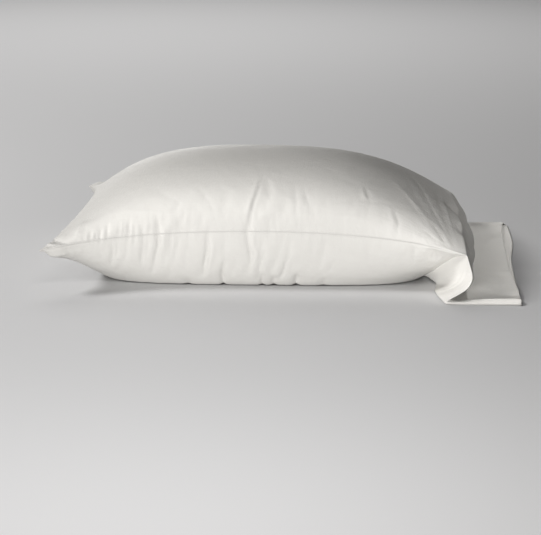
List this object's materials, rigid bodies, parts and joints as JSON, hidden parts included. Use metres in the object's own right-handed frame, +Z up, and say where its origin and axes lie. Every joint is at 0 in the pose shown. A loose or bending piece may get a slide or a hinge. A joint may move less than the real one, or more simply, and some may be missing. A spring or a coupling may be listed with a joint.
{
  "type": "pillowcase on its pillow",
  "caption": "White cotton pillowcase filled by its pillow, crowned, with pointed corners and drawn-in sides, its empty hemmed end laid flat on the surface beside it",
  "frame": {"origin": "the middle of the object's box, on the surface that it lies on", "axes": "+X from the closed end to the open end, +Z up, +Y from the front side seam to the back one"},
  "size_m": [0.716, 0.524, 0.1756],
  "materials": {
    "cotton": "smooth plain-woven white cotton with a faint sheen"
  },
  "bodies": {
    "root": {"pillowcase": "cotton"}
  },
  "joints": []
}
